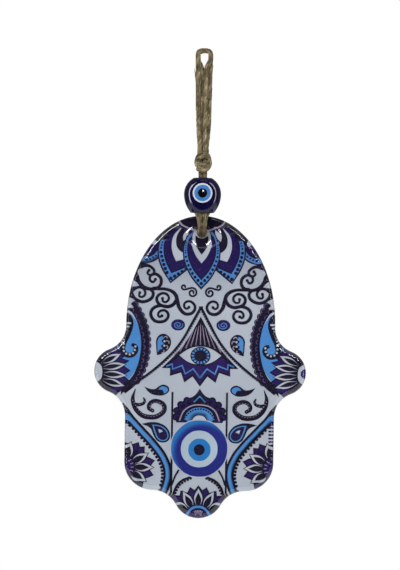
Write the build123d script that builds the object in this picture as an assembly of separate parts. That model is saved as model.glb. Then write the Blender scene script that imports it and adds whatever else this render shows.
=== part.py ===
from build123d import *

import math
import os

# Hamsa hand ornament: a printed glass hand under a cobalt eye bead, hung on doubled jute twine.
# Millimetres. +Z is up, the printed front faces -Y and +X is to the viewer's right.
# The origin is the axis of the nail that the hanging loops go over.

# Twine and the room it needs
twine_d = 2.2
strand_gap = 0.1
running_gap = 0.3

# How far a cutting tool runs past the face it cuts
cut_past = 1.0

# Hanging loops, from the nail axis down to the knot
bight_r = 3.0
loop_drop = 44.7
leg_spread = 2.75
leg_inner = 0.7
leg_lean = 0.4
outer_entry = 1.6
inner_entry = 0.85

# Heights above the knot where the outer and inner legs turn, and their last straight runs
outer_turns = (2.8, 10.2, 18.7)
outer_last = 14.0
inner_turns = (4.5, 11.7, 36.2)
inner_last = 2.5

# Overhand knot that gathers the strands
knot_h = 9.5
knot_r = 4.0
knot_belly_r = 3.8
knot_wall = 0.45
knot_shoulder = 0.12
wrap_tilt = 17.0
wrap_high = 3.4
wrap_low = 6.4
wrap_ring_r = 2.75

# Bead: round above its middle, longer below, flattened front and back
neck_h = 2.95
bead_r = 8.75
bead_above = 7.65
bead_below = 8.8
bead_lower_round = 13.3
bead_flat_y = 6.2
bead_flat_round = 1.0
bead_flare_drop = 1.2

# Eye inlays on the bead's front
eye_rise = 0.4
eye_white_r = 4.65
eye_blue_r = 3.85
eye_pupil_r = 2.2
eye_seat = 0.8
eye_dome = 0.6
eye_edge = 0.1
inlay_gap = 0.02

# Hand plaque: glass with a printed film and a white backing behind it
bead_to_plaque = 1.4
plaque_w = 100.0
plaque_h = 142.9
glass_t = 4.0
film_t = 0.2
backing_t = 0.2
film_inset = 1.0
side_x = 35.2
dome_h = 51.0
side_run = 1.4
thumb_r = 10.7
web_r = 12.0
corner_r = 13.2
cleft_r = 13.0
tip_r = 12.0
front_round = 2.4
back_round = 0.8

# Hole for the twine
hole_drop = 8.0
hole_r = 2.7
hole_round = 0.6
face_gap = 0.5

# Places along the lower strands, and their room in the bead's mouth
mouth_spread = 1.95
face_spread = 1.8
mouth_gap = 0.45
spread_drop = 1.7
mouth_rise = 1.4
face_drop = 0.4
hole_run = 1.2

# Share of the shorter run that each bend of the twine takes up
bend_share = 0.45

# Sizes and heights that follow from those above
twine_r = twine_d / 2
half_pitch = (twine_d + strand_gap) / 2
bundle_r = half_pitch * math.sqrt(2) + twine_r
strand_top_r = bundle_r + running_gap / 2
socket_r = strand_top_r + running_gap
bead_bore_r = bundle_r + running_gap

knot_top_z = -loop_drop
knot_bottom_z = knot_top_z - knot_h
bead_top_z = knot_bottom_z - neck_h
bead_z = bead_top_z - bead_above
bead_bottom_z = bead_z - bead_below
eye_z = bead_z + eye_rise
plaque_top_z = bead_bottom_z - bead_to_plaque
plaque_bottom_z = plaque_top_z - plaque_h
hole_z = plaque_top_z - hole_drop

plaque_t = glass_t + film_t + backing_t
front_y = -plaque_t / 2
glass_back_y = front_y + glass_t
film_back_y = glass_back_y + film_t
back_y = film_back_y + backing_t

strand_y = plaque_t / 2 + face_gap + twine_r
bend_z = hole_z + hole_r + hole_round


def polar(centre, radius, degrees):
    """The point at that angle on a circle."""
    turn = math.radians(degrees)
    return (centre[0] + radius * math.cos(turn), centre[1] + radius * math.sin(turn))


def arc(centre, radius, start, end):
    """A circular arc from one angle to another, in degrees, through the angle halfway."""
    middle = (start + end) / 2
    points = [polar(centre, radius, a) for a in (start, middle, end)]
    return ThreePointArc(*points)


def direction(start, end):
    """The angle in degrees from one point to another."""
    return math.degrees(math.atan2(end[1] - start[1], end[0] - start[0]))


def hand_outline(inset=0.0):
    """The hand's outline, in X and Z, drawn in from the edge by inset."""
    dome = (0.0, plaque_top_z - dome_h)
    web_x = side_x + web_r
    thumb_x = plaque_w / 2 - thumb_r
    web_rise = math.sqrt((web_r + thumb_r) ** 2 - (web_x - thumb_x) ** 2)
    upper_web = (web_x, dome[1] - side_run)
    thumb = (thumb_x, upper_web[1] - web_rise)
    lower_web = (web_x, thumb[1] - web_rise)
    corner_x = side_x - corner_r
    tip = (0.0, plaque_bottom_z + tip_r)
    cleft = (corner_x, tip[1] - math.sqrt((cleft_r + tip_r) ** 2 - corner_x**2))
    corner = (corner_x, cleft[1] + cleft_r + corner_r)

    top = EllipticalCenterArc(dome, side_x - inset, dome_h - inset, 0, arc_size=90)
    above = arc(upper_web, web_r + inset, 180, 360 + direction(upper_web, thumb))
    round_thumb = arc(thumb, thumb_r - inset, direction(thumb, upper_web), direction(thumb, lower_web))
    below = arc(lower_web, web_r + inset, direction(lower_web, thumb), 180)
    finger = arc(corner, corner_r - inset, 0, -90)
    between = arc(cleft, cleft_r + inset, 90, direction(cleft, tip))
    middle = arc(tip, tip_r - inset, direction(tip, cleft), -90)
    upper_side = Line(top @ 0, above @ 0)
    lower_side = Line(below @ 1, finger @ 0)
    half = top + upper_side + above + round_thumb + below + lower_side + finger + between + middle
    return make_face(half + mirror(half, Plane.YZ))


def plate(inset, y_front, y_back):
    """A sheet of the hand's outline between two depths."""
    return extrude(Plane.XZ.offset(-y_back) * hand_outline(inset), y_back - y_front)


def bore_along_y(radius, y_low, y_high, z):
    """A round rod along Y, for cutting holes."""
    rod = Cylinder(radius, y_high - y_low, rotation=(90, 0, 0))
    return Pos(0, (y_low + y_high) / 2, z) * rod


def route(points):
    """Straight runs joined by tangent arcs as large as the runs allow."""
    spots = [Vector(*p) for p in points]
    runs = [b - a for a, b in zip(spots, spots[1:])]
    radii = []
    for before, after in zip(runs, runs[1:]):
        half_turn = math.radians(before.get_angle(after)) / 2
        radii.append(bend_share * min(before.length, after.length) / math.tan(half_turn))
    print("arc radii", [round(r, 1) for r in radii])
    return FilletPolyline(*spots, radius=radii)


def twine(name, path):
    """A plain tube of the twine's thickness along a path."""
    section = Plane(path @ 0, z_dir=path % 0) * Circle(twine_r)
    tube = sweep(section, path=path)
    plain = math.pi * twine_r**2 * path.length
    print(name, "length", round(path.length, 1), "fill", round(tube.volume / plain, 4))
    return tube


def hanging_loop(name, side, y):
    """One loop over the nail: its outer leg on one side, its inner leg crossing towards the middle."""
    outer = [
        (-side * outer_entry, y, knot_top_z),
        (-side * outer_entry, y, knot_top_z + outer_turns[0]),
        (-side * (leg_spread - leg_lean), y, knot_top_z + outer_turns[1]),
        (-side * leg_spread, y, knot_top_z + outer_turns[2]),
        (-side * bight_r, y, -outer_last),
        (-side * bight_r, y, 0),
    ]
    inner = [
        (side * inner_entry, y, knot_top_z),
        (side * inner_entry, y, knot_top_z + inner_turns[0]),
        (side * leg_inner, y, knot_top_z + inner_turns[1]),
        (side * (leg_inner + leg_lean / 2), y, knot_top_z + inner_turns[2]),
        (side * bight_r, y, -inner_last),
        (side * bight_r, y, 0),
    ]
    up = route(outer)
    down = route(inner)
    over = ThreePointArc(outer[-1], (0, y, bight_r), inner[-1])
    return twine(name, Wire(up.edges() + over.edges() + down.edges()))


def knot():
    """The knot's barrel with two crossing wraps, flat on top and hollowed below for the strands."""
    top_r = math.hypot(outer_entry, half_pitch) + twine_r + knot_shoulder
    bottom_r = socket_r + knot_wall
    belly = ThreePointArc(
        (top_r, knot_top_z),
        (knot_belly_r, (knot_top_z + knot_bottom_z) / 2),
        (bottom_r, knot_bottom_z),
    )
    axis = Polyline(belly @ 1, (0, knot_bottom_z), (0, knot_top_z), belly @ 0)
    barrel = revolve(Plane.XZ * make_face(belly + axis), Axis.Z)
    wrap = Torus(wrap_ring_r, knot_r - wrap_ring_r)
    high = Pos(0, 0, knot_top_z - wrap_high) * Rot(0, -wrap_tilt, 0) * wrap
    low = Pos(0, 0, knot_top_z - wrap_low) * Rot(0, wrap_tilt, 0) * wrap
    socket = Pos(0, 0, knot_bottom_z) * Sphere(socket_r)
    return barrel + high + low - socket


def lower_points(side):
    """The front strand's places on one side, from inside the knot to the back of its bend."""
    return [
        (side * half_pitch, -half_pitch, knot_bottom_z + strand_top_r),
        (side * half_pitch, -half_pitch, bead_z - spread_drop),
        (side * mouth_spread, -mouth_spread, bead_bottom_z + mouth_rise),
        (side * face_spread, -strand_y, plaque_top_z - face_drop),
        (side * half_pitch, -strand_y, bend_z + hole_run),
        (side * half_pitch, -strand_y, bend_z),
    ]


def lower_loop(name, side):
    """One loop through the bead and the plaque's hole, its top rounded to swing inside the knot."""
    front = route(lower_points(side))
    back = mirror(front, Plane.XZ)
    bend = ThreePointArc(front @ 1, (side * half_pitch, 0, bend_z - strand_y), back @ 1)
    tube = twine(name, Wire(front.edges() + bend.edges() + back.edges()))
    room = 2 * strand_top_r
    above = Pos(0, 0, knot_bottom_z + room / 2) * Box(2 * room, 2 * room, room)
    return tube - (above - Pos(0, 0, knot_bottom_z) * Sphere(strand_top_r))


def bead_body():
    """The bead, with flat faces, its bore, its flared mouth and the seat of the eye."""
    shoulder = math.degrees(math.asin(bead_above / bead_r))
    drop = math.degrees(math.asin(bead_below / bead_lower_round))
    upper = arc((0, bead_z), bead_r, shoulder, 0)
    lower = arc((bead_r - bead_lower_round, bead_z), bead_lower_round, 0, -drop)
    core = Polyline(lower @ 1, (0, bead_bottom_z), (0, bead_top_z), upper @ 0)
    body = revolve(Plane.XZ * make_face(upper + lower + core), Axis.Z)
    body &= Pos(0, 0, bead_z) * Box(4 * bead_r, 2 * bead_flat_y, 4 * bead_r)
    body = fillet(body.faces().filter_by(Axis.Y).edges(), bead_flat_round)
    bore = Polyline(
        (0, bead_top_z + cut_past),
        (bead_bore_r, bead_top_z + cut_past),
        (bead_bore_r, bead_z - bead_flare_drop),
        (mouth_r(), bead_bottom_z),
        (mouth_r(), bead_bottom_z - cut_past),
        (0, bead_bottom_z - cut_past),
        close=True,
    )
    body -= revolve(Plane.XZ * make_face(bore), Axis.Z)
    return body - bore_along_y(eye_white_r, -bead_r, eye_seat - bead_flat_y, eye_z)


def mouth_r():
    """The bead's mouth clears the strands where they leave it."""
    inside, outside = [Vector(*p) for p in lower_points(1)[2:4]]
    share = (inside.Z - bead_bottom_z) / (inside.Z - outside.Z)
    strand = inside + (outside - inside) * share
    slant = (outside - inside).length / (inside.Z - outside.Z)
    return math.hypot(strand.X, strand.Y) + twine_r * slant + mouth_gap


def eye_ring(inner_r, outer_r):
    """One ring of the eye, or its pupil, under a common shallow dome."""
    rise = eye_dome - eye_edge
    dome_r = (eye_white_r**2 + rise**2) / (2 * rise)
    crest_y = -bead_flat_y - eye_dome
    seat_y = eye_seat - bead_flat_y
    ring = bore_along_y(outer_r - inlay_gap, crest_y - cut_past, seat_y, eye_z)
    if inner_r:
        ring -= bore_along_y(inner_r, crest_y - 2 * cut_past, seat_y + cut_past, eye_z)
    return ring & Pos(0, crest_y + dome_r, eye_z) * Sphere(dome_r)


def glass_hand():
    """The clear plaque, well rounded in front, with a rounded hole."""
    slab = plate(0.0, front_y, glass_back_y)
    slab -= bore_along_y(hole_r, front_y - cut_past, glass_back_y + cut_past, hole_z)
    front = slab.faces().sort_by(Axis.Y)[0]
    back = slab.faces().sort_by(Axis.Y)[-1]
    hole_edges = front.inner_wires()[0].edges() + back.inner_wires()[0].edges()
    slab = fillet(hole_edges, hole_round)
    front = slab.faces().filter_by(Axis.Y).sort_by(Axis.Y)[0]
    slab = fillet(front.outer_wire().edges(), front_round)
    back = slab.faces().filter_by(Axis.Y).sort_by(Axis.Y)[-1]
    return fillet(back.outer_wire().edges(), back_round)


def rear_sheet(y_front, y_back):
    """The film or the backing: drawn in from the edge and holed clear of the rounded glass."""
    sheet = plate(film_inset, y_front, y_back)
    return sheet - bore_along_y(hole_r + hole_round, y_front - cut_past, y_back + cut_past, hole_z)


nodes = {
    "glass_hand": glass_hand(),
    "print_film": rear_sheet(glass_back_y, film_back_y),
    "backing_sheet": rear_sheet(film_back_y, back_y),
    "bead_body": bead_body(),
    "bead_eye_white": eye_ring(eye_blue_r, eye_white_r),
    "bead_eye_blue": eye_ring(eye_pupil_r, eye_blue_r),
    "bead_eye_pupil": eye_ring(0, eye_pupil_r),
    "hanging_loop_front": hanging_loop("hanging_loop_front", 1, -half_pitch),
    "hanging_loop_back": hanging_loop("hanging_loop_back", -1, half_pitch),
    "cord_knot": knot(),
    "lower_loop_left": lower_loop("lower_loop_left", -1),
    "lower_loop_right": lower_loop("lower_loop_right", 1),
}

os.makedirs("parts", exist_ok=True)
for node, solid in nodes.items():
    solid.label = node
    export_step(solid, f"parts/{node}.step")
print("knot bottom", knot_bottom_z, "bead", bead_z, "plaque top", plaque_top_z, "hole", hole_z)
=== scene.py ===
# %% [markdown]
# Hamsa hand ornament: a printed glass hand hangs under a cobalt eye bead on doubled jute twine.
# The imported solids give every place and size, and this lesson dresses them: twisted twine with
# loose fibres, a tied knot, a lampwork bead, and a clear plaque with its ornament printed behind.

# %% Load the frame
import math
import random

import bmesh
import bpy
from mathutils import Matrix, Vector
from mathutils.kdtree import KDTree


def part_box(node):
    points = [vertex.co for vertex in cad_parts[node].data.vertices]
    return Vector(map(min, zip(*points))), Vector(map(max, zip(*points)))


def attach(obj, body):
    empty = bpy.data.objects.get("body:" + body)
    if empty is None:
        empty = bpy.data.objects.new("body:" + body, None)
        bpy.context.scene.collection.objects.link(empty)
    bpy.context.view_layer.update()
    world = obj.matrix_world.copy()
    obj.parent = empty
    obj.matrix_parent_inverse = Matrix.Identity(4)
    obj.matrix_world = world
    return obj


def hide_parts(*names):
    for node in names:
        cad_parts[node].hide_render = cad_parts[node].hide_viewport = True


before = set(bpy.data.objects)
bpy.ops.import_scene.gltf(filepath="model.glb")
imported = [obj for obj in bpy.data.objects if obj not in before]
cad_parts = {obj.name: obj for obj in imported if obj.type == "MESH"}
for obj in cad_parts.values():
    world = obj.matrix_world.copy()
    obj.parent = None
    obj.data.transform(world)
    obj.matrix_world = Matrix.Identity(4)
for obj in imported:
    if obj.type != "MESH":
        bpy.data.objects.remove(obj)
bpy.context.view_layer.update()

mm = 0.001
plaque_low, plaque_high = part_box("glass_hand")
scene = bpy.context.scene
scene.view_settings.view_transform = "Standard"


# %% [markdown]
# The camera looks straight at the printed front from well back, as a product photographer does,
# so that nothing is drawn out of shape. The picture is 400 by 570, taller than wide, so the lens
# is worked out from the height that the picture covers at the plaque. A slight roll gives the
# small lean with which the ornament hangs.

# %% Camera
picture_height = 0.26887
view_middle = Vector((-0.6 * mm, 0, -107.7 * mm))
view_distance = 1.3
hang_lean = math.radians(0.8)

camera_data = bpy.data.cameras.new("camera")
camera_data.sensor_fit = "VERTICAL"
camera_data.sensor_height = 36
camera_data.lens = camera_data.sensor_height * view_distance / picture_height
camera = bpy.data.objects.new("camera", camera_data)
camera.location = view_middle + Vector((0, plaque_low.y - view_distance, 0))
camera.rotation_euler = (math.radians(90), -hang_lean, 0)
scene.collection.objects.link(camera)
scene.camera = camera
print("lens", round(camera_data.lens, 1), "mm")


# %% [markdown]
# Jute twine is two or three plies twisted together, and each loop here is one length of it.
# The line of a loop is a NURBS spline led by a few control points, because hanging twine has no
# sharp corners. The plies are then wound round the points that Blender reads back from that line.

# %% The line of a loop
def mesh_of(curve):
    """A curve made a mesh. The curve itself isn't kept."""
    holder = bpy.data.objects.new("curve", curve)
    scene.collection.objects.link(holder)
    mesh = bpy.data.meshes.new_from_object(holder)
    bpy.data.objects.remove(holder)
    bpy.data.curves.remove(curve)
    return mesh


def control_line(places):
    """A smooth open line led by places in millimetres, read back as a list of points in metres."""
    curve = bpy.data.curves.new("line", "CURVE")
    curve.dimensions = "3D"
    curve.resolution_u = 16
    spline = curve.splines.new("NURBS")
    spline.points.add(len(places) - 1)
    for point, place in zip(spline.points, places):
        point.co = (*(Vector(place) * mm), 1)
    spline.order_u = 3
    spline.use_endpoint_u = True
    mesh = mesh_of(curve)
    line = [v.co.copy() for v in mesh.vertices]
    bpy.data.meshes.remove(mesh)
    return line


def line_length(line):
    return sum((b - a).length for a, b in zip(line, line[1:]))


# %% [markdown]
# To wind something round a line, its places and directions are needed at equal steps. A side
# direction is carried along with them and turned only as far as the line itself turns, so that
# nothing laid beside the line gets a twist that isn't meant.

# %% Walking along a line
def even_walk(line, step):
    """Places and directions at equal steps along a line."""
    total = line_length(line)
    count = max(2, round(total / step))
    places, directions = [], []
    run, passed = 0, 0.0
    for i in range(count + 1):
        goal = min(total * i / count, total * (1 - 1e-6))
        while passed + (line[run + 1] - line[run]).length < goal:
            passed += (line[run + 1] - line[run]).length
            run += 1
        part = line[run + 1] - line[run]
        places.append(line[run] + part.normalized() * (goal - passed))
        directions.append(part.normalized())
    return places, directions


def carried_sides(directions):
    """A side direction at each place, carried along the line without twisting."""
    side = directions[0].orthogonal().normalized()
    sides = []
    for direction in directions:
        side = (side - direction * side.dot(direction)).normalized()
        sides.append(side.copy())
    return sides


# %% [markdown]
# A ply lies round the loop's line like the stripe on a barber's pole. A bump pattern could only
# paint such stripes on a plain tube, so here each ply is a track of its own. It takes its place
# beside the line, turned a little further at every step.

# %% Winding plies round a line
twine_d = 2.2 * mm
ply_count = 3
ply_share = 0.68
ply_turn = 8.0 * mm
ply_step = 0.5 * mm


def ply_tracks(line, diameter, first_angle, looseness=None):
    """The tracks of the plies round a line, and the radius of one ply. Where a function of the
    height says so, the plies stand further apart sideways, as in untwisted twine."""
    ply_r = ply_share * diameter / 2
    wind_r = diameter / 2 - ply_r
    places, directions = even_walk(line, ply_step)
    sides = carried_sides(directions)
    step = line_length(line) / (len(places) - 1)
    tracks = []
    for ply in range(ply_count):
        track = []
        for i, (place, along, side) in enumerate(zip(places, directions, sides)):
            angle = first_angle + math.tau * (ply / ply_count + i * step / ply_turn)
            off = wind_r * (math.cos(angle) * side + math.sin(angle) * along.cross(side))
            off.x *= looseness(place.z) if looseness else 1
            track.append(place + off)
        tracks.append(track)
    return tracks, ply_r


# %% [markdown]
# A curve with a round bevel turns tracks into tubes, with closed ends and a UV map that runs along
# each tube, which the fibre pattern needs. All tubes of a piece become one mesh, and each gets a
# shade of its own as an attribute, so that neighbours differ. The random numbers are seeded with
# the piece's name, so the twine is the same every time.

# %% Tubes along tracks
fibre_r = 0.1 * mm
tube_sides = 10
weld = 0.001 * mm


def merged(mesh):
    """A bmesh of a mesh, in which points that lie on one another are made one."""
    shape = bmesh.new()
    shape.from_mesh(mesh)
    bmesh.ops.remove_doubles(shape, verts=shape.verts, dist=weld)
    return shape


def written(shape, mesh):
    """A mesh that a bmesh is written into. The bmesh itself isn't kept."""
    shape.to_mesh(mesh)
    shape.free()
    return mesh


def tubes(name, *bundles):
    """One mesh of round tubes from bundles of (tracks, radius), with a UV map along each tube."""
    curve = bpy.data.curves.new(name, "CURVE")
    curve.dimensions = "3D"
    curve.bevel_depth = mm
    curve.bevel_resolution = tube_sides // 2 - 2
    curve.use_fill_caps = True
    for tracks, radius in bundles:
        for track in tracks:
            spline = curve.splines.new("POLY")
            spline.points.add(len(track) - 1)
            for point, place in zip(spline.points, track):
                point.co = (*place, 1)
                point.radius = radius / mm
    mesh = mesh_of(curve)
    mesh.name = name
    mesh.shade_smooth()
    chance = random.Random(name)
    shades = []
    for tracks, radius in bundles:
        spread = 1.0 if radius <= fibre_r else 0.5
        for track in tracks:
            shades += [chance.uniform(-spread, spread)] * (tube_sides * (len(track) + 2))
    mesh.attributes.new("shade", "FLOAT", "POINT").data.foreach_set("value", shades)
    return written(merged(mesh), mesh)


# %% [markdown]
# Seen close, jute is a bundle of single fibres, and some lift off where they end. A hair system
# could grow them, but a few thin tubes laid along the twine are enough, and they break its outline
# as real fuzz does.

# %% Fibres
fibre_steps = (7, 22)
fibre_turn = (-0.02, 0.08)
fibre_seat = 0.97


def fibre_tracks(line, diameter, count, seed, lifts=(0.0, 0.05, 0.1)):
    """Single fibres that lie along the twine, and lift off it a little where they end."""
    chance = random.Random(seed)
    places, directions = even_walk(line, 2 * ply_step)
    sides = carried_sides(directions)
    tracks = []
    for _ in range(count):
        steps = min(chance.randint(*fibre_steps), len(places) - 1)
        first = chance.randrange(len(places) - steps)
        angle, turn = chance.uniform(0, math.tau), chance.uniform(*fibre_turn)
        lift = chance.choice(lifts) * mm
        track = []
        for i in range(steps + 1):
            place, along, side = (values[first + i] for values in (places, directions, sides))
            off = fibre_seat * diameter / 2 + lift * (i / steps) ** 4
            at = angle + turn * i
            track.append(place + off * (math.cos(at) * side + math.sin(at) * along.cross(side)))
        tracks.append(track)
    return tracks, fibre_r


# %% [markdown]
# Every new piece is told which moving body it rides on and which material it shows.
# One helper does both, so that no piece is forgotten.

# %% A finished piece
def coat(mesh, material):
    mesh.materials.clear()
    mesh.materials.append(material)


def piece_of(name, mesh, material, body):
    """A finished piece that rides on a body."""
    piece = bpy.data.objects.new(name, mesh)
    scene.collection.objects.link(piece)
    coat(mesh, material)
    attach(piece, body)
    return piece


# %% [markdown]
# Materials are small trees of nodes. These helpers keep the trees short: one starts a material
# with its main shader, one adds a node, and one turns the screen colours that people quote into
# the linear values that a renderer works with. An owner is a material or, later, the world.

# %% Helpers for materials
def screen_colour(red, green, blue):
    """A colour quoted from 0 to 255 on a screen, as linear values with full cover."""
    def linear(level):
        share = level / 255
        return share / 12.92 if share <= 0.04045 else ((share + 0.055) / 1.055) ** 2.4
    return (linear(red), linear(green), linear(blue), 1.0)


def set_up(node, settings):
    """Gives a node its settings. One that names an input goes to that input, others to the node."""
    sockets = {}
    for socket in node.inputs:
        sockets.setdefault(socket.name.lower().replace(" ", "_"), socket)
    for name, value in settings.items():
        if name in sockets:
            sockets[name].default_value = value
        else:
            setattr(node, name, value)
    return node


def new_material(name, **settings):
    """A material and its main shader, with the shader's inputs set."""
    material = bpy.data.materials.new(name)
    material.use_nodes = True
    return material, set_up(material.node_tree.nodes["Principled BSDF"], settings)


def add_node(owner, kind, **settings):
    return set_up(owner.node_tree.nodes.new(kind), settings)


def join(owner, source, target):
    """Gives an input another node's output, or a plain value."""
    if isinstance(source, bpy.types.NodeSocket):
        owner.node_tree.links.new(source, target)
    else:
        target.default_value = source


# %% [markdown]
# A few nodes come back in nearly every finish: a noise, a place with its pattern stretched, a sum,
# a mix, a ramp of colours and a bump. Each has a helper that adds the node, joins it up and gives
# back its output, so that a finish reads like a recipe.

# %% Helpers for common nodes
def noise(owner, place, **settings):
    node = add_node(owner, "ShaderNodeTexNoise", **settings)
    join(owner, place, node.inputs["Vector"])
    return node.outputs["Fac"]


def stretched(owner, place, scale):
    node = add_node(owner, "ShaderNodeMapping", scale=scale)
    join(owner, place, node.inputs["Vector"])
    return node.outputs["Vector"]


def one_axis(owner, place, axis):
    node = add_node(owner, "ShaderNodeSeparateXYZ")
    join(owner, place, node.inputs["Vector"])
    return node.outputs[axis]


def graded(owner, value, **ends):
    """A value carried over from one range to another, 0 to 1 unless it is given."""
    node = add_node(owner, "ShaderNodeMapRange", **ends)
    join(owner, value, node.inputs["Value"])
    return node.outputs["Result"]


def reckoned(owner, operation, *terms):
    node = add_node(owner, "ShaderNodeMath", operation=operation)
    for term, socket in zip(terms, node.inputs):
        join(owner, term, socket)
    return node.outputs["Value"]


def mixed(owner, kind, factor, first, second):
    node = add_node(owner, "ShaderNodeMix", data_type=kind)
    for term, label in ((factor, "Factor"), (first, "A"), (second, "B")):
        join(owner, term, node.inputs[label])
    return node.outputs["Result"]


def colour_steps(owner, factor, steps):
    """A ramp from a factor to screen colours, given as (position, colour)."""
    ramp = add_node(owner, "ShaderNodeValToRGB")
    stops = ramp.color_ramp.elements
    while len(stops) < len(steps):
        stops.new(0.5)
    for stop, (position, colour) in zip(stops, steps):
        stop.position = position
        stop.color = screen_colour(*colour)
    join(owner, factor, ramp.inputs["Fac"])
    return ramp.outputs["Color"]


def bumped(owner, shader, height, strength, distance):
    node = add_node(owner, "ShaderNodeBump", strength=strength, distance=distance)
    join(owner, height, node.inputs["Height"])
    join(owner, node.outputs["Normal"], shader.inputs["Normal"])


# %% [markdown]
# Jute is a bundle of long, dull, straw-brown fibres. The noise is stretched far along the ply, so
# it reads as fibres that lie lengthwise, with a second, broader noise for the patches where the
# yarn was spun darker or paler. The shade of each ply and fibre is added to both, and the twine is
# painted darker low down towards the plaque's hole, as painted shade for the shadow it lies in there.
# The same noise drives a bump, and sheen gives the soft fuzzy edge.

# %% Jute
hole_drop = 8.0
hole_z = plaque_high.z / mm - hole_drop
hole_shade_run = 6.0
hole_shade_tone = -0.12
shade_share = 0.15


def jute_material():
    material, shader = new_material("jute", roughness=0.9, sheen_weight=0.25, sheen_roughness=0.6)
    where = add_node(material, "ShaderNodeTexCoord")
    along_ply = stretched(material, where.outputs["UV"], (6, 4, 1))
    fibres = noise(material, along_ply, scale=3.0, detail=5.0, roughness=0.65)
    patches = noise(material, where.outputs["Object"], scale=420.0, detail=3.0)
    spun = mixed(material, "FLOAT", 0.45, fibres, patches)
    own = add_node(material, "ShaderNodeAttribute", attribute_name="shade")
    toned = reckoned(material, "MULTIPLY_ADD", own.outputs["Fac"], shade_share, spun)
    # Painted shade: the twine is darkened low down towards the hole, where it lies in shadow.
    hole_shade = graded(material, one_axis(material, where.outputs["Object"], "Z"),
                    from_min=hole_z * mm, from_max=(hole_z + hole_shade_run) * mm, to_min=hole_shade_tone, to_max=0.0)
    tone = reckoned(material, "ADD", toned, hole_shade)
    colour = colour_steps(material, tone, [(0.32, (54, 43, 26)), (0.45, (114, 99, 67)),
                                           (0.56, (156, 140, 102)), (0.72, (206, 193, 157))])
    join(material, colour, shader.inputs["Base Color"])
    bumped(material, shader, fibres, strength=0.5, distance=0.15 * mm)
    return material


jute = jute_material()
print("jute has", len(jute.node_tree.nodes), "nodes")


# %% [markdown]
# Two loops go over the nail. Each rises out of the knot on one side, passes over and comes down
# on the other. The four legs lie side by side in front view, because each loop's inner leg
# crosses to the middle. The two loops are mirror images, one in front of the other.

# %% Hanging loops
fibre_count = 90
loop_lifts = (0.0, 0.1, 0.2, 0.7)
outer_leg = [(-1.6, 1.15, -44.7), (-1.6, 1.0, -41.9), (-2.3, 0.6, -34.5), (-2.6, 0.55, -26.0),
             (-2.75, 0.55, -14.0), (-3.0, 1.0, -2.0), (-3.0, 1.15, 0.0)]
over_nail = [(-3.0, 1.15, 3.0), (3.0, 1.15, 3.0)]
inner_leg = [(3.0, 1.15, 0.0), (3.0, 1.1, -2.0), (1.6, 0.9, -3.8), (0.95, 0.6, -6.5), (0.9, 0.55, -14.0),
             (0.8, 0.55, -33.0), (0.85, 1.0, -40.2), (0.85, 1.15, -44.7)]
loop_route = outer_leg + over_nail + inner_leg

for name, side in (("front", 1), ("back", -1)):
    line = control_line([(side * x, -side * depth, z) for x, depth, z in loop_route])
    mesh = tubes(f"twine_loop_{name}", ply_tracks(line, twine_d, side),
                 fibre_tracks(line, twine_d, fibre_count, f"loop {name}", loop_lifts))
    piece = piece_of(f"twine_loop_{name}", mesh, jute, "hanger")
    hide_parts(f"hanging_loop_{name}")
    print(piece.name, round(line_length(line) / mm, 1), "mm of", ply_count, "plies")


# %% [markdown]
# The knot is where the strands are tied round themselves. A real overhand knot hides most of its
# way, so only what shows is laid: a strand that arches over the front and comes back underneath, one
# that bends down the left side, one over the right shoulder, and one straight across. Between the
# arch and the one across, the knot is open and dark. The loops' four legs end inside, above a
# hollow in which the lower strands swing.

# %% Knot
knot_top, knot_narrow, knot_long = -44.7, 0.92, 1.12
knot_fibres = 12
wrap_d, across_d = 1.9 * mm, 1.8 * mm
arch = [(-2.0, 2.2, -47.2), (-3.1, 0.2, -47.9), (-2.7, -2.4, -48.0), (0.1, -3.7, -46.6), (2.7, -2.7, -46.9),
        (3.6, -1.2, -48.8), (3.5, -1.4, -50.6), (2.4, -2.9, -52.2), (0.2, -3.6, -52.9), (-1.8, -3.1, -52.4),
        (-2.7, -0.4, -52.1), (-2.0, 2.8, -52.0), (0.6, 3.7, -52.0)]
loop_end = [(0.6, -2.0, -45.2), (-1.8, -2.4, -45.6), (-3.1, -1.5, -47.6), (-3.5, -0.6, -49.4),
            (-2.9, -2.3, -50.9), (-1.1, -3.7, -51.8), (1.5, -3.5, -51.4), (3.2, -1.6, -50.9),
            (3.1, 1.4, -50.6), (1.0, 3.4, -50.4), (-1.6, 3.1, -50.2)]
shoulder = [(-1.0, -1.9, -44.9), (1.3, -2.4, -45.2), (2.8, -1.6, -46.6), (3.4, 0.6, -48.4),
            (2.4, 2.9, -48.8), (-0.2, 3.6, -48.9), (-2.6, 2.5, -49.2), (-3.2, 0.2, -49.8)]
across = [(-3.0, -1.2, -49.9), (-2.0, -3.1, -50.2), (0.4, -3.6, -50.0), (2.2, -2.7, -49.4),
          (3.0, -0.6, -49.0), (2.4, 2.2, -47.0), (0.0, 3.2, -46.6), (-2.2, 2.2, -46.4)]

knot_strands = []
for wrap, diameter in ((arch, wrap_d), (loop_end, wrap_d), (shoulder, wrap_d), (across, across_d)):
    drawn_out = [(knot_narrow * x, y, knot_top + knot_long * (z - knot_top)) for x, y, z in wrap]
    knot_strands.append((drawn_out, diameter))
leg_ends = [(side * x, -side * depth) for side in (1, -1) for x, depth, _ in (outer_leg[0], inner_leg[-1])]
knot_strands += [([(x, y, -43.7), (x, y, -48.0), (0.8 * x, y, -50.6)], twine_d) for x, y in leg_ends]
bundles = []
for i, (places, diameter) in enumerate(knot_strands):
    line = control_line(places)
    bundles += [ply_tracks(line, diameter, i), fibre_tracks(line, diameter, knot_fibres, f"knot {i}")]
knot_piece = piece_of("twine_knot", tubes("twine_knot", *bundles), jute, "hanger")
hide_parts("cord_knot")
print("knot of", len(knot_strands), "strands,", len(knot_piece.data.polygons), "faces")


# %% [markdown]
# Below the knot the same twine goes down through the bead, passes in front of the plaque, through
# its hole and up again behind. Two such loops lie side by side, so one route serves for both, and
# its back is the mirror image of its front.

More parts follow.
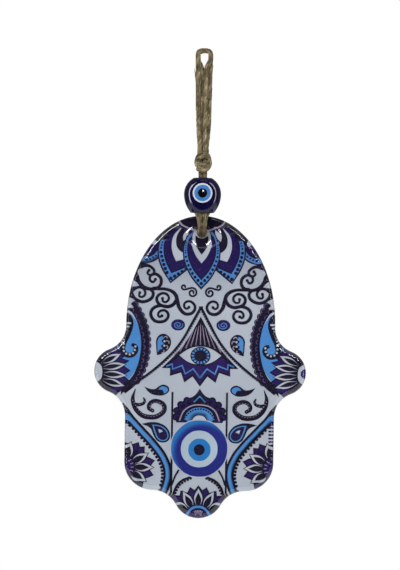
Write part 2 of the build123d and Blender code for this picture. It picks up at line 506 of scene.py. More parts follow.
# %% Route of the lower loops
neck_shift, neck_z = 0.25, -57.0
front_run = [(0.9, -1.1, -51.3), (0.95, -1.1, -66.5), (1.35, -1.7, -72.2), (1.55, -3.8, -75.2),
             (1.1, -3.8, -78.5), (1.0, -3.8, -79.7)]
hole_turn = [(1.0, -3.8, -84.1), (1.0, 3.8, -84.1)]
back_run = [(x, -y, z) for x, y, z in reversed(front_run)]
lower_route = front_run + hole_turn + back_run


def lower_places(side):
    """The route on one side. In the neck the front strands stand a little right of the back ones."""
    x, y, _ = front_run[0]
    places = [(side * x, y, z) for x, y, z in lower_route]
    front_neck = (side * x + neck_shift, y, neck_z)
    back_neck = (side * x - neck_shift, -y, neck_z)
    return places[:1] + [front_neck] + places[1:-1] + [back_neck] + places[-1:]


print("lower route of", len(lower_places(1)), "places")


# %% [markdown]
# Twine that is threaded through a tight bore comes out untwisted. So the plies open up at the
# bead's mouth, and in the hole the loosest of them are pressed out against the wall, so that no
# light comes through beside them. Under the mouth, where the glass edge rubs, fibres have frayed
# and hang over the strands.

# %% Loose plies and frayed fibres
mouth_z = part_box("bead_body")[0].z / mm
loose_above, loose_below, loosest = 6.6, 3.2, 1.6
hole_loose_z, hole_loose_run, hole_loosest = -82.0, 3.0, 0.15


def mouth_looseness(z):
    """The plies open up where the strands leave the bead, and a little where they lie in the hole."""
    above = z / mm - mouth_z
    off_mouth = above / (loose_above if above > 0 else loose_below)
    off_hole = (z / mm - hole_loose_z) / hole_loose_run
    return 1 + loosest * max(0.0, 1 - off_mouth**2) + hole_loosest * max(0.0, 1 - off_hole**2)


splayed_angles = range(-90, 31, 12)
splayed_r = 0.3 * mm
hole_fill_r = 2.38
wall_half, splayed_half = 2.2, 3.6
bent_in, bent_up = 0.75, 0.8


def splayed_plies(side):
    """The loosest plies, pressed out against the lower wall of the hole that the strands go through."""
    tracks = []
    for angle in splayed_angles:
        aside, above = math.cos(math.radians(angle)), math.sin(math.radians(angle))
        x, z = side * hole_fill_r * aside, hole_z + hole_fill_r * above
        end_x, end_z = bent_in * x, z + bent_up * (1 - above)
        tracks.append(control_line([(end_x, -splayed_half, end_z), (x, -wall_half, z),
                                    (x, wall_half, z), (end_x, splayed_half, end_z)]))
    return tracks, splayed_r


frayed_count = 45
frayed_off, frayed_depth, frayed_run = (1.0, 3.7), (3.0, 4.4), (3.5, 5.5)


def frayed_fibres(side):
    """Fibres that the bead's mouth has rubbed loose, and that lie back on the strand lower down."""
    chance = random.Random(f"frayed {side}")
    tracks = []
    for _ in range(frayed_count):
        off, depth = chance.uniform(*frayed_off), chance.uniform(*frayed_depth)
        tracks.append(control_line([
            (side * off, -depth, mouth_z - 0.2),
            (side * (0.5 * off + 0.8), -depth - 0.9, mouth_z - 2.2),
            (side * (0.3 * off + 0.8), -depth - 0.7, mouth_z - chance.uniform(*frayed_run))]))
    return tracks, fibre_r


# %% [markdown]
# The lower loops swing with the plaque under the knot, so they are pieces of their own. They could
# start at the knot's foot, but then a gap would open there, so they end a little way inside it.

# %% Lower loops
inside_knot = 1.0 * mm
for name, side in (("left", -1), ("right", 1)):
    whole_line = control_line(lower_places(side))
    line = [spot for spot in whole_line if spot.z < whole_line[0].z - inside_knot]
    mesh = tubes(f"twine_lower_{name}", ply_tracks(line, twine_d, 2 * side, mouth_looseness),
                 fibre_tracks(line, twine_d, fibre_count // 2, f"lower {name}"),
                 splayed_plies(side), frayed_fibres(side))
    piece = piece_of(f"twine_lower_{name}", mesh, jute, "lower_cord")
    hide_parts(f"lower_loop_{name}")
    print(piece.name, round(line_length(line) / mm, 1), "mm")


# %% [markdown]
# The ornament is printed on a thin film behind the glass. It is drawn here the way a sign maker
# cuts vinyl: each motif is a flat filled curve a few thousandths of a millimetre thick, and the
# colours lie over one another in levels. Drawing in geometry keeps every edge sharp at any zoom.
# The drawing plane is in millimetres, measured from the top of the hand: x to the right, drop down.

# %% The drawing plane
plaque_top = plaque_high.z
film_low, film_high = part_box("print_film")
ink_t = 0.006
ink_room = 0.05
level_step = 0.008
film_hole_r = 2.8
near_hole = 4.0
to_plaque = (Matrix.Translation((0, film_high.y - ink_room * mm, plaque_top))
             @ Matrix.Rotation(math.radians(90), 4, "X") @ Matrix.Scale(mm, 4))
from_plaque = to_plaque.inverted()
prints = {}


def tip(x, drop):
    """A sharp corner of an outline. A plain (x, drop) is a smooth one."""
    return (x, drop, True)


def fitted_film():
    """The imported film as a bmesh, with its hole drawn in to the wall of the plaque's own hole."""
    shape = merged(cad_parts["print_film"].data)
    hole = Vector((0, plaque_top - hole_drop * mm))
    for v in shape.verts:
        off_hole = Vector((v.co.x, v.co.z)) - hole
        if off_hole.length < near_hole * mm:
            v.co.x, v.co.z = hole + off_hole.normalized() * film_hole_r * mm
    return shape


def film_prism():
    """The film's outline as a block across the drawing plane, which motifs are cut to."""
    shape = fitted_film()
    bmesh.ops.transform(shape, matrix=from_plaque, verts=shape.verts)
    middle = sum(v.co.z for v in shape.verts) / len(shape.verts)
    for v in shape.verts:
        v.co.z = 1.0 if v.co.z > middle else -1.0
    prism = bpy.data.objects.new("film_prism", written(shape, bpy.data.meshes.new("film_prism")))
    scene.collection.objects.link(prism)
    prism.hide_render = True
    return prism


cutter = film_prism()
print("film cutter", len(cutter.data.polygons), "faces")


# %% [markdown]
# A motif goes into the print of its ink as a mesh. One that runs over the edge of the hand, or
# over the hole, is first cut to the film with a Boolean, as the film itself is cut after printing.
# Nearly all of the ornament is the same left and right, so a motif is mirrored as it is laid down.

# %% Laying a motif into its ink
def cut_to_film(mesh):
    holder = bpy.data.objects.new("motif", mesh)
    scene.collection.objects.link(holder)
    knife = holder.modifiers.new("film", "BOOLEAN")
    knife.operation = "INTERSECT"
    knife.solver = "EXACT"
    knife.object = cutter
    bpy.context.view_layer.update()
    depsgraph = bpy.context.evaluated_depsgraph_get()
    trimmed = bpy.data.meshes.new_from_object(holder.evaluated_get(depsgraph))
    bpy.data.objects.remove(holder)
    bpy.data.meshes.remove(mesh)
    return trimmed


def lay(ink, level, mesh, both, cut):
    """Adds a mesh, drawn about level 0, to an ink at its level."""
    if cut:
        mesh = cut_to_film(mesh)
    mesh.transform(Matrix.Translation((0, 0, level * level_step)))
    if ink not in prints:
        prints[ink] = bmesh.new()
    prints[ink].from_mesh(mesh)
    if both:
        mesh.transform(Matrix.Scale(-1, 4, (1, 0, 0)))
        mesh.flip_normals()
        prints[ink].from_mesh(mesh)
    bpy.data.meshes.remove(mesh)


def fill(ink, level, outline, both=True, cut=False, smooth=8, sharp=False):
    """A flat filled shape from a closed outline, whose corners may all be sharp."""
    curve = bpy.data.curves.new("fill", "CURVE")
    curve.dimensions = "2D"
    curve.fill_mode = "BOTH"
    curve.extrude = ink_t / 2
    curve.resolution_u = smooth
    spline = curve.splines.new("BEZIER")
    spline.bezier_points.add(len(outline) - 1)
    spline.use_cyclic_u = True
    for bend, (x, drop, *_) in zip(spline.bezier_points, outline):
        bend.co = (x, -drop, 0)
    for bend, (_, _, *corner) in zip(spline.bezier_points, outline):
        bend.handle_left_type = bend.handle_right_type = "VECTOR" if sharp or corner else "AUTO"
    lay(ink, level, mesh_of(curve), both, cut)


# %% [markdown]
# A drawn line that swells and thins, like a brush stroke, is a curve with a four-sided bevel that
# is pressed flat. The radius of each point sets the line's width there, so one list of points
# gives both the way and the swelling.

# %% Brush strokes
def stroke(ink, level, points, width, both=True, cut=False, smooth=6, sharp=False):
    """A flat line through places (x, drop), each of which may add its share of the width."""
    curve = bpy.data.curves.new("stroke", "CURVE")
    curve.dimensions = "3D"
    curve.twist_mode = "Z_UP"
    curve.bevel_depth = 0.5
    curve.bevel_resolution = 0
    curve.use_fill_caps = True
    curve.resolution_u = smooth
    spline = curve.splines.new("BEZIER")
    spline.bezier_points.add(len(points) - 1)
    for bend, (x, drop, *share) in zip(spline.bezier_points, points):
        bend.co = (x, -drop, 0)
        bend.radius = width * (share[0] if share else 1)
    for bend in spline.bezier_points:
        bend.handle_left_type = bend.handle_right_type = "VECTOR" if sharp else "AUTO"
    mesh = mesh_of(curve)
    for v in mesh.vertices:
        v.co.z = math.copysign(ink_t / 2, v.co.z) if abs(v.co.z) > 1e-5 else 0.0
    lay(ink, level, mesh, both, cut)


# %% [markdown]
# Most of the small motifs are discs, pointed leaves, and rows of dots that walk along a line. Each
# is a fill from a handful of points, so that one way of filling serves for all of them.

# %% Discs, leaves and rows
arc_step = 40


def around(x, drop, radius, start, sweep, inner=None, tall=1.0):
    """Points on a circle, or winding in to an inner radius, from an angle through a sweep."""
    count = max(3, round(abs(sweep) / arc_step))
    points = []
    for i in range(count + 1):
        share = i / count
        r = radius if inner is None else radius + (inner - radius) * share
        angle = math.radians(start + sweep * share)
        points.append((x + r * math.cos(angle), drop - tall * r * math.sin(angle)))
    return points


def disc(ink, level, x, drop, radius, both=True, cut=False, smooth=6, tall=1.0):
    turns = [math.radians(45 * i) for i in range(8)]
    rim = [(x + radius * math.cos(turn), drop - tall * radius * math.sin(turn)) for turn in turns]
    fill(ink, level, rim, both=both, cut=cut, smooth=smooth)


def leaf(ink, level, base, point, half_width, belly=0.5, both=True, cut=False):
    """A pointed oval from a base to a point, widest a share of the way along."""
    along = Vector(point) - Vector(base)
    side = Vector((-along.y, along.x)).normalized() * half_width
    middle = Vector(base) + along * belly
    fill(ink, level, [tip(*base), tuple(middle + side), tip(*point), tuple(middle - side)],
         both=both, cut=cut)


def row(ink, level, points, pitch, radius, offset=0.0, both=True, cut=False, last=1.0):
    """Dots at even steps along a line, set off to one side, and growing or shrinking to the end."""
    line = control_line([(x, -drop, 0) for x, drop, *_ in points])
    places, directions = even_walk([spot / mm for spot in line], pitch)
    for i, (spot, along) in enumerate(zip(places, directions)):
        at = spot + Vector((-along.y, along.x, 0)) * offset
        size = radius * (1 + (last - 1) * i / (len(places) - 1))
        disc(ink, level, at.x, -at.y, size, both=both, cut=cut, smooth=3)


def whole(half):
    """A loop that is the same left and right, from its right half, given from top to bottom."""
    return half + [(-x, *rest) for x, *rest in reversed(half) if x]


def tell(motifs):
    print(motifs, "drawn,", sum(len(shape.faces) for shape in prints.values()), "faces of ink so far")


# %% [markdown]
# A lotus hangs from the top of the hand. Each petal is a nest of leaves: a dark outline, a blue
# border with dark dots, violet, and a pale leaf with a dark heart. The outermost pair runs over
# the edge of the hand, so it is drawn too large and cut to the film.

# %% Outer petals of the top lotus
fill("dark", 1, [tip(0, -1), tip(32, -1), tip(32, 24.0), (25.4, 22.8), (22, 21.6), tip(19.2, 19.2),
                 tip(0, 12)], cut=True)
stroke("blue", 2, [(19.4, 16.4), (21.6, 19.1), (23.6, 20.4), (25.8, 21.2), (31, 22.2)], 2.1, cut=True)
fill("violet", 3, [tip(20.4, 13.6), (22.6, 17.4), (25.2, 19.2), tip(31, 20.6), tip(31, 15.6),
                   tip(26.4, 14.4)], cut=True)
row("dark", 4, [(21.6, 19.1), (23.6, 20.4), (25.8, 21.2), (29, 21.9)], 1.6, 0.5, cut=True)
leaf("pale", 4, (20.6, 11.9), (24.4, 14.6), 1.1, cut=True)
tell("outer petals")


# %% [markdown]
# The next pair of petals lies over the outer one and half under the middle petal. Its dots are
# large at the point and shrink towards the top, as a brush that runs dry would leave them.

# %% Second petals of the top lotus
fill("dark", 5, [tip(14.6, 32.2), (19.7, 23.4), (20.9, 16.8), (19.6, 10.6), tip(12, 3.0), tip(2, 3),
                 tip(2, 22)], cut=True)
fill("blue", 6, [tip(14.6, 31.2), (19.0, 23.0), (20.25, 16.8), (18.9, 11.0), tip(12, 4.2), tip(2, 4),
                 tip(2, 20.7)], cut=True)
row("dark", 7, [(7.4, 25.3), (10.8, 27.5), (14.4, 29.8)], 2.1, 0.68, cut=True, last=1.3)
row("dark", 7, [(16.3, 27.0), (18.4, 22.4), (19.3, 17.4)], 2.2, 0.84, cut=True, last=0.85)
row("dark", 7, [(19.2, 15.4), (18.6, 12.4), (17.2, 9.4), (15.2, 6.8)], 1.35, 0.5, cut=True, last=0.5)
fill("dark", 8, [tip(14.2, 27.4), (17.2, 21.4), (18.1, 16.2), (17.4, 11.6), tip(12, 4.6), tip(2, 4),
                 tip(2, 22), (8.6, 25.0)], cut=True)
fill("dark", 8, [(10, 2), (22, 2), (22, 11.6), (16, 11.6), (10, 5.4)], cut=True, sharp=True)
fill("violet", 9, [tip(14.1, 26.6), (16.8, 21.1), (17.6, 16.2), (16.9, 11.9), tip(11.8, 5.4), tip(2, 5),
                   tip(2, 21), (8.8, 24.3)], cut=True)
fill("pale", 10, [tip(12.1, 21.6), (13.8, 17.4), (14.2, 13.2), (13.0, 9.0), tip(10.0, 5.8), tip(7.4, 8.0),
                  tip(8.4, 20.6)], cut=True)
fill("dark", 11, [tip(9.4, 17.4), (11.4, 15.4), (12.2, 12.2), (11.5, 8.8), tip(9.6, 5.8), tip(5.5, 8.0),
                  tip(6.5, 16.6)], cut=True)
leaf("pale", 12, (6.3, 6.6), (8.8, 12.0), 1.2, cut=True)
tell("second petals")


# %% [markdown]
# The middle petal lies on top. Its six leaves have one form in six sizes, so a loop draws them from
# a top, a bottom, a width and the height of the belly. A dark cap with a lilac rim covers the root.

# %% Middle petal of the top lotus
for ink, level, top, bottom, half_width, belly in (
        ("dark", 13, 1.0, 35.0, 8.95, 17.8), ("blue", 14, 1.6, 33.8, 8.35, 17.6),
        ("dark", 16, 2.0, 30.5, 6.9, 16.8), ("violet", 17, 2.6, 29.5, 6.4, 16.5),
        ("pale", 18, 3.0, 22.5, 4.7, 12.6), ("dark", 19, 4.0, 18.4, 3.0, 11.8)):
    spread = (half_width * 0.82, belly * 0.6)
    turn_in = (half_width * 0.62, belly + (bottom - belly) * 0.6)
    fill(ink, level, whole([tip(0, top), spread, (half_width, belly), turn_in, tip(0, bottom)]),
         both=False, cut=True)
row("dark", 15, [(0, 32.0), (3.4, 29.0), (5.9, 24.2), (7.0, 21.2), (7.5, 19.4)], 2.15, 0.78,
    cut=True, last=0.7)
row("dark", 15, [(7.6, 17.6), (7.7, 14.8), (7.0, 10.6), (6.2, 8.4)], 1.15, 0.42, cut=True, last=0.6)
fill("dark", 20, [tip(0, -1), tip(14, -1), tip(12.6, 2.6), (6.0, 5.6), tip(0, 6.4)], cut=True)
stroke("lilac", 21, [(11.4, 3.4), (7.0, 5.6), (2.6, 6.9), (0, 7.1)], 0.75, cut=True)
tell("middle petal")


# %% [markdown]
# Scrolls like wrought iron fill the pale ground beside the lotus. Each is one brush stroke that
# winds in at both ends or springs from another, and each ends in a small round blob. Thin curls
# lie between them in the middle, and below them an oval with a blue spiral on each side.

# %% Scrolls
scroll_width, curl_width = 1.55, 0.95
blob_r = 0.75
scrolls = [
    [(24.8, 26.1, 0.7), (25.5, 27.3, 0.7), (23.9, 28.3, 0.72), (22.3, 26.7, 0.8), (23.5, 24.8, 0.9),
     (26.2, 23.8, 1), (29.0, 25.0, 1.1), (30.3, 28.4, 1.2), (28.9, 32.4, 1.2), (25.5, 34.7, 1.1),
     (21.0, 34.8, 0.9), (15.4, 35.2, 0.95), (12.2, 37.3, 1.15), (11.2, 40.4, 1.25), (9.8, 44.3, 1.1),
     (6.4, 46.6, 1), (3.0, 44.5, 0.9), (3.7, 41.4, 0.8), (6.6, 40.6, 0.75), (8.0, 42.5, 0.7),
     (6.8, 44.0, 0.7), (5.7, 43.3, 0.7)],
    [(22.9, 34.6, 1), (20.2, 34.0, 1), (18.9, 31.2, 1), (20.1, 28.6, 0.95), (22.8, 27.9, 0.9),
     (24.4, 29.9, 0.8), (22.8, 31.6, 0.75), (21.7, 30.3, 0.7)],
    [(24.2, 34.6, 0.9), (22.6, 37.4, 0.95), (25.6, 40.6, 1), (30.0, 40.3, 1), (32.4, 36.9, 0.95),
     (29.9, 34.2, 0.9), (26.9, 35.3, 0.8), (26.8, 38.0, 0.75), (29.1, 38.4, 0.7), (29.0, 36.7, 0.7)],
    [(11.5, 39.8, 1.1), (13.5, 42.4, 1.1), (17.4, 43.0, 1), (20.9, 40.2, 0.95), (19.3, 37.2, 0.85),
     (16.0, 37.5, 0.8), (15.5, 40.1, 0.75), (17.8, 40.8, 0.7), (18.2, 39.3, 0.7)],
    [(16.0, 43.0, 0.9), (20.4, 42.9, 1), (23.4, 45.2, 1), (22.9, 48.8, 1), (19.5, 50.4, 0.95),
     (15.8, 48.7, 0.9), (15.8, 45.9, 0.85), (18.1, 44.9, 0.8), (20.1, 46.4, 0.75), (19.6, 48.0, 0.7),
     (18.4, 47.5, 0.7)],
]
for points in scrolls:
    stroke("dark", 3, points, scroll_width)
for x, drop, _ in [points[-1] for points in scrolls] + scrolls[0][:1]:
    disc("dark", 4, x, drop, blob_r, smooth=3)

small_curl = list(reversed(around(8.15, 33.7, 1.35, 240, 360, inner=0.35)))
big_curl = around(4.2, 36.4, 2.4, 60, 540, inner=0.4)
stroke("dark", 3, small_curl + big_curl, curl_width)

oval_x, oval_drop, oval_tall = 10.7, 51.7, 0.8
disc("dark", 1, oval_x, oval_drop, 3.3, tall=oval_tall)
disc("violet", 2, oval_x, oval_drop, 3.0, tall=oval_tall)
stroke("blue", 3, around(oval_x, oval_drop, 2.3, 160, 620, inner=0.3, tall=oval_tall), 0.42)
tell("scrolls")


# %% [markdown]
# Under the scrolls stands a triangle of rays. Twisted cords run down from its apex to the thumbs,
# and a row of zigzag flames hangs below it. The rays fan out from the apex by equal angles, so a
# loop draws them.

# %% Triangle of rays
ray_count, ray_step, ray_reach = 6, 7.4, 17.0
ray_head, ray_foot, ray_bow = Vector((0, 46.0)), 61.0, 0.036
ray_width, last_ray_width = 0.56, 0.45
cord_line = [(0, 43.0), (4, 50.4), (8.4, 58.4), (12.2, 63.6), (16.4, 68.0), (22, 73.0), (29, 78.2),
             (39, 84.4)]
stroke("dark", 5, cord_line, 1.0, cut=True)
row("dark", 5, cord_line, 1.25, 0.55, offset=-0.55, cut=True)
fill("dark", 3, whole([tip(0, 47.6), (3.6, 54.3), (7.7, 60.7), (12.0, 65.9), tip(18.2, 72.2),
                       tip(14.2, 72.2), tip(14.3, 75.9), tip(9.0, 74.2), tip(7.4, 78.9), tip(3.5, 76.0),
                       tip(0, 80.8)]), both=False)
fill("violet", 4, whole([(0, 66), (10, 66.8), (16.4, 71.6), (13.6, 71.5), (13.7, 74.8), (8.7, 73.1),
                         (7.2, 77.2), (3.4, 74.7), (0, 79.1)]), both=False, sharp=True)
stroke("blue", 5, [(0, 76.7), (3.3, 72.4), (7.0, 74.8), (8.5, 70.9), (13.0, 72.6), (13.2, 70.2),
                   (16.0, 71.4)], 0.9, sharp=True)
for i in range(ray_count):
    aside = ray_reach * math.tan(math.radians(ray_step * i))
    foot = Vector((aside, ray_foot + ray_bow * aside**2))
    head = ray_head + (foot - ray_head) * (0.34 + 0.045 * i)
    width = ray_width if i < ray_count - 1 else last_ray_width
    stroke("lilac", 5, [(*head, 0.3), (*foot, 1.0)], width, both=i > 0, sharp=True)
tell("triangle")


# %% [markdown]
# An eye looks out of the triangle, and two small paisleys stand beside it. The dark edge of the lids
# is the same loop drawn a little larger, and the iris is a disc with spokes.

# %% Eye and small paisleys
eye_x, eye_drop, eye_tall = 0.1, 66.2, 0.9
lid_drop = 66
lids = [tip(10, lid_drop), (5.2, 62.9), (0, 61.8), (-5.2, 62.9), tip(-10, lid_drop), (-5.2, 69.3), (0, 70.3),
        (5.2, 69.3)]
lid_edge = [(x * 1.08, lid_drop + (drop - lid_drop) * 1.14, *corner) for x, drop, *corner in lids]
fill("dark", 6, lid_edge, both=False)
fill("pale", 7, lids, both=False)
for ink, level, radius in (("dark", 8, 4.75), ("blue", 9, 4.2), ("dark", 10, 3.0)):
    disc(ink, level, eye_x, eye_drop, radius, both=False, tall=eye_tall)
for turn in range(0, 360, 24):
    spoke = around(eye_x, eye_drop, 2.4, turn, 0, inner=4.25, tall=eye_tall)
    stroke("dark", 10, spoke, 0.62, both=False, sharp=True)

fill("dark", 3, [tip(20.5, 66.2), (20.95, 61.5), (20.7, 58.2), (18, 56.0), (15, 57.2), (13.9, 60),
                 (15.2, 63.4), (17.8, 65.3)])
fill("blue", 4, [tip(20.2, 64.8), (20.3, 61.3), (20.0, 58.5), tip(18.2, 56.9), tip(17.3, 58.3),
                 tip(18.6, 59.3), tip(17.3, 60.7), tip(18.8, 61.7), tip(17.9, 63.0), tip(19.4, 63.6)])
for x, drop, turn in ((16.5, 58.1, 100), (15.7, 60.1, 130), (16.3, 62.3, 180), (18.0, 64.2, 215)):
    stroke("lilac", 5, around(x, drop, 0.85, turn - 80, 160), 0.42)
for x, drop in ((17.0, 59.5), (17.1, 61.6)):
    disc("pale", 6, x, drop, 0.5, smooth=3)
tell("eye")


# %% [markdown]
# A great blue paisley curls round each side, behind the thumb. It has a dark border with scallops
# and a hooked tail set with white dots. The small scales on the border are arcs that turn with it,
# so they are laid by walking along its line.

# %% Side paisleys
scallop_pitch, scallop_r, scale_r, scale_width = 3.05, 1.6, 1.0, 0.42


def scales(ink, level, points):
    """Small arcs at even steps along a line, each with its back to the middle of the hand."""
    line = control_line([(x, -drop, 0) for x, drop in points])
    for spot, along in zip(*even_walk([place / mm for place in line], scallop_pitch)):
        back = math.degrees(math.atan2(-along.x, along.y))
        stroke(ink, level, around(spot.x, -spot.y, scale_r, back - 80, 160), scale_width, cut=True)


fill("blue", 3, [tip(33.7, 46.2), (30.4, 50.4), (28.6, 55.7), (28.0, 61), (28.6, 66.9), (30.3, 72.8),
                 (33, 77), tip(36, 80.6), tip(52, 82), tip(52, 46.2)], cut=True)
border = [(31.9, 43.6), (28.6, 49.2), (26.7, 55.4), (26.1, 61), (26.7, 67.2), (28.5, 73.6), (31.4, 78.6),
          (36.5, 83.0)]
stroke("dark", 4, border, 3.9, cut=True)
scallops = [(31.0, 42.2), (27.2, 48.4), (25.2, 55.2), (24.6, 61), (25.2, 67.4), (27.0, 74.0), (29.8, 78.6)]
row("dark", 4, scallops, scallop_pitch, scallop_r, cut=True)
scales("mauve", 5, scallops)
scales("mauve", 5, [(x + 0.9, drop + 1.5) for x, drop in border[:-1]])

hook = [(33.9, 46.4, 0.5), (33.3, 51.2, 1.35), (34.5, 56.4, 1.2), (36.3, 60.8, 1.1), (36.5, 64.6, 1.1),
        (33.7, 66.4, 1.05), (30.8, 64.8, 1), (30.7, 62.2, 0.9), (32.6, 61.2, 0.6)]
stroke("dark", 5, hook, 2.3, cut=True)
row("pale", 6, hook[1:-1], 1.7, 0.5, cut=True)
tell("side paisleys")


# %% [markdown]
# Half a lotus opens from the tip of each thumb, over the end of the paisley. Jagged dark and violet
# grounds lie under it, and its petals are leaves in three layers that reach in from the edge. The
# one on the right has a violet spot at its heart, which the other has not.

# %% Thumbs
fill("dark", 6, [(43, 59), (38.6, 63.6), (35.0, 66.4), (36.9, 67.9), (33.3, 68.9), (36.4, 71.1),
                 (32.8, 73.6), (36.2, 75.9), (33.0, 78.5), (36.4, 80.3), (34.8, 82.4), (39, 87), (53, 92),
                 (53, 58)], cut=True, sharp=True)
fill("violet", 7, [(43, 61.5), (36.3, 66.4), (38, 68.0), (34.4, 69.0), (37.6, 71.1), (33.9, 73.6),
                   (37.3, 75.9), (34.1, 78.4), (37.6, 80.3), (36.0, 82.2), (41, 84)], cut=True, sharp=True)
for reach, base_drop, drop in ((37.6, 70.4, 65.8), (35.2, 72.6, 70.7), (34.8, 75.2, 75.9),
                               (35.6, 77.8, 80.9)):
    heart_drop = drop + 0.15 * (base_drop - drop)
    leaf("dark", 8, (47.5, base_drop), (reach - 0.6, drop), 2.1, belly=0.55, cut=True)
    leaf("pale", 9, (47.0, base_drop), (reach, drop), 1.65, belly=0.55, cut=True)
    leaf("dark", 10, (47.0, base_drop), (reach + 1.7, heart_drop), 1.05, cut=True)
disc("dark", 11, 50.6, 74.6, 5.0, cut=True, tall=1.3)
disc("pale", 12, 50.8, 74.6, 4.6, cut=True, tall=1.3)
disc("violet", 13, 48.9, 74.2, 1.3, both=False, cut=True, tall=1.9)
fill("pale", 8, [(37.2, 83.4), (39.8, 85.0), (37.4, 86.4)], cut=True, sharp=True)
tell("thumbs")


# %% [markdown]
# Below the eye float tadpole drops, vines that curl up with rows of pale dots, and small
# teardrops. Two thin poles stand between them and the roundel in the middle.

# %% Drops, vines and poles
fill("dark", 3, [(14.4, 82.3), (16.5, 80.1), (19, 80.6), (21.2, 82.1), (23.2, 82.1), tip(26.4, 81.0),
                 (23.7, 84), (20, 85.2), (16.6, 84.8)])
fill("blue", 4, [(15.1, 82.3), (16.8, 80.9), (18.7, 81.3), tip(19.6, 82.4), (17.6, 82.7), tip(16.9, 84.2),
                 (15.7, 83.6)])
vine = [(30.4, 82.0, 0.15), (31.6, 87.6, 0.95), (28.4, 93.7, 1.1), (23.5, 95.5, 1.1), (18.8, 94.4, 1.1),
        (16.5, 91, 1.05), (18.9, 88.2, 1), (22.9, 88.5, 0.95), (23.9, 91.2, 0.9), (22.2, 92.4, 0.8)]
sprig = [(30.8, 89.4, 1), (28.2, 89.6, 1), (26.0, 88.2, 0.85), (26.6, 86.2, 0.4)]
stroke("dark", 3, vine, 2.1)
stroke("dark", 3, sprig, 1.6)
disc("dark", 4, *vine[-1][:2], 0.95, smooth=3)
row("lilac", 4, vine[1:], 1.35, 0.2)
row("lilac", 4, sprig[1:3], 1.2, 0.17)
fill("dark", 3, [(13.7, 104.2), (15.1, 100.6), (18.6, 98.3), (22.6, 97.8), tip(27.4, 98.7), (23.2, 100.7),
                 (21.6, 104), (19.7, 106.7), (17, 107.4), (14.6, 106.5)])
fill("blue", 4, [(14.5, 104.2), (15.8, 101.1), (18.9, 99.3), tip(22.3, 99.0), (20.8, 103.5), (19.2, 106.0),
                 (17, 106.7), (15.2, 105.9)])
fill("dark", 5, [(15.0, 104.2), (16.3, 101.4), (19.0, 99.8), tip(21.5, 99.4), (20.2, 103.4), (18.9, 105.5),
                 (17, 106.2), (15.5, 105.5)])
fill("violet", 6, [(15.4, 104.2), (16.6, 101.8), tip(20.2, 100.1), (19.7, 103.2), (18.5, 105.1),
                   (17, 105.7), (15.9, 105.2)])
fill("pale", 7, [tip(17.2, 102.2), (18.1, 101.4), tip(19.4, 101.1), tip(18.9, 102.8)])
disc("dark", 7, 17.2, 104.1, 1.3, smooth=4)
disc("violet", 8, 17.1, 104.2, 0.6, smooth=4)
pole_x = 12.9
stroke("dark", 2, [(pole_x, 83.4), (pole_x, 132.0)], 0.95, sharp=True, cut=True)
tell("drops, vines and poles")


# %% [markdown]
# The roundel in the middle is the same charm as the bead: a deep blue ring, white, light blue and
# a black pupil. A crown of scallops stands on it, with an arch of blue inside.

# %% Roundel and its crown
arch_foot, arch_tall = 97.0, 0.8
crown = [tip(0, 81.7), (2.4, 84.9), (5.2, 86.3), (7.8, 87.6), (9.6, 89.4), (11.2, 92.0), (12.2, 95.0),
         tip(11.8, 96.9), tip(0, 96.9)]
fill("dark", 4, whole(crown), both=False)
fill("violet", 5, whole([(x * 0.93, drop + 0.9, *corner) for x, drop, *corner in crown]), both=False)
for x, drop in ((6.0, 87.4), (8.9, 89.4), (10.7, 92.2), (11.2, 95.2)):
    disc("dark", 4, x, drop, 1.75)
    disc("violet", 5, x - 0.2, drop + 0.2, 1.2)
    disc("dark", 6, x - 1.0, drop + 0.8, 1.1)
fill("dark", 6, whole([tip(0, 83.6), (2.9, 86.4), (3.5, 88.4), tip(3.2, 89.6), tip(0, 89.6)]), both=False)
stroke("blue", 7, [(2.7, 88.2), (0, 85.4), (-2.7, 88.2)], 0.95, both=False, sharp=True)

for ink, level, radius, width in (("dark", 7, 6.6, 6.4), ("lilac", 8, 9.5, 0.6), ("blue", 8, 5.75, 3.5)):
    low_arch = around(0, arch_foot, radius, 0, 180, tall=arch_tall)
    stroke(ink, level, low_arch, width, both=False, smooth=10)
row("dark", 9, around(0, arch_foot, 7.6, 4, 172, tall=arch_tall), 1.3, 0.45, both=False)
disc("pale", 9, 0, arch_foot, 3.3, both=False, tall=arch_tall)

for ink, level, x, drop, radius, smooth in (
        ("pale", 10, 0.1, 110.0, 13.75, 16), ("roundel", 11, 0.1, 110.0, 13.3, 16),
        ("milk", 12, 0.1, 110.2, 8.65, 16), ("sky", 13, 0.2, 110.6, 5.3, 12),
        ("dark", 14, 0.1, 110.6, 2.6, 12)):
    disc(ink, level, x, drop, radius, both=False, smooth=smooth)
tell("roundel")


# %% [markdown]
# A blue band swings down each side to the cleft between the fingers. It is one line drawn twice,
# dark and then narrower in blue, with a row of teeth beside it. At the right edge alone, a column
# of short violet dashes stands above it.

# %% Lower bands
band = [(37, 89.4), (33.6, 95.2), (28, 101.4), (21.5, 108.4), (16.6, 115.2), (14.6, 121.7), (15.6, 128),
        (17.2, 131.8), (20, 137)]
stroke("dark", 5, band, 4.2, cut=True)
stroke("blue", 6, band, 1.9, cut=True)
row("dark", 5, band[1:-1], 1.95, 0.7, offset=2.2, cut=True)
dash_count, dash_drop, dash_step = 6, 98.2, 1.65
for i in range(dash_count):
    drop = dash_drop + dash_step * i
    stroke("violet", 6, [(32.7, drop), (36, drop)], 0.85, both=False, cut=True, sharp=True)
tell("lower bands")


# %% [markdown]
# Half a lotus opens from each lower corner and a whole one from the middle finger, with the same pale
# leaves as the thumbs. The two differ only in place, angles and reach, so one function draws both.

# %% Lower lotuses
def spot_at(x, drop, angle, radius):
    turn = math.radians(angle)
    return (x + radius * math.cos(turn), drop - radius * math.sin(turn))


